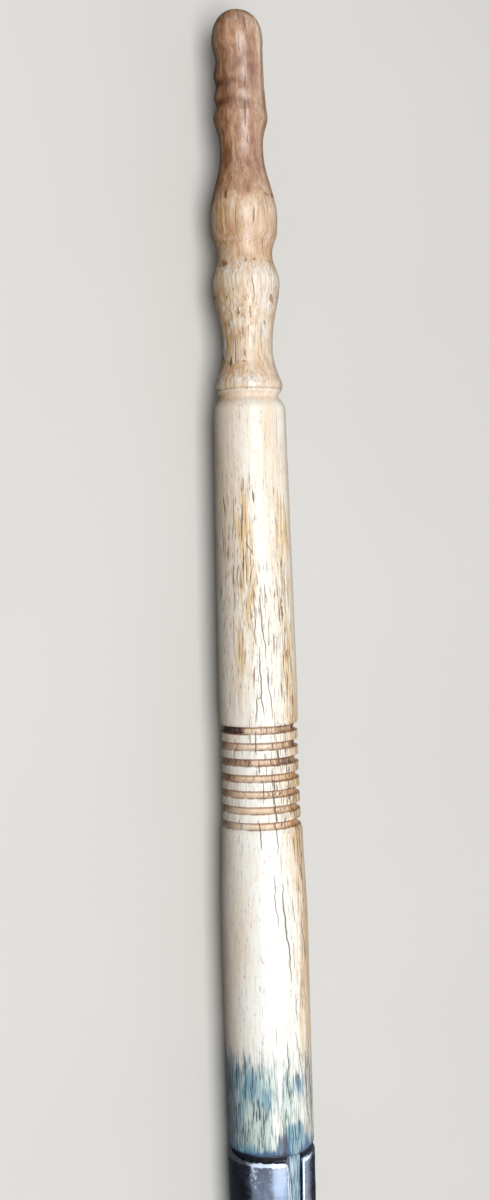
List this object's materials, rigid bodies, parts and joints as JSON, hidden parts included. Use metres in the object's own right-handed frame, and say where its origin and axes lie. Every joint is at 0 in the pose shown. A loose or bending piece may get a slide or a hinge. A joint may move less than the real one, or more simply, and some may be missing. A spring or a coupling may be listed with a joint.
{
  "type": "hand scaler",
  "caption": "Slim dental hand scaler: turned bone handle with a beaded finial, split steel sleeve, sliding clamp ring and removable hooked point.",
  "frame": {"origin": "on the handle's axis, at the middle of the plain cylindrical grip", "axes": "+X along the handle towards the finial, +Z towards the sleeve's slit, so the hook points to -Z and the XZ plane is the mirror plane"},
  "size_m": [0.163, 0.0084, 0.0083],
  "materials": {
    "bone": null,
    "aged_bone": "polished bone, aged to honey brown",
    "shellac_cement": "brown shellac cement, hidden inside the joint",
    "pitch": "dull black pitch",
    "dark_steel": "darkened rolled steel with a worn bright rim",
    "ring_steel": "knurled steel, darkened between the teeth",
    "point_steel": "ground and polished steel, bright at the blade"
  },
  "bodies": {
    "handle": {"handle_shaft": "bone", "finial": "aged_bone", "finial_cement": "shellac_cement", "pitch_seal": "pitch", "split_sleeve": "dark_steel", "sleeve_pin": "dark_steel"},
    "ring": {"clamp_ring": "ring_steel"},
    "point": {"scaler_point": "point_steel"}
  },
  "joints": [
    {"name": "ring_slide", "type": "slide", "parent": "handle", "child": "ring", "axis": [1, 0, 0], "range_m": [0, 0.0032]},
    {"name": "point_withdraw", "type": "slide", "parent": "handle", "child": "point", "axis": [-1, 0, 0], "range_m": [0, 0.021]}
  ]
}
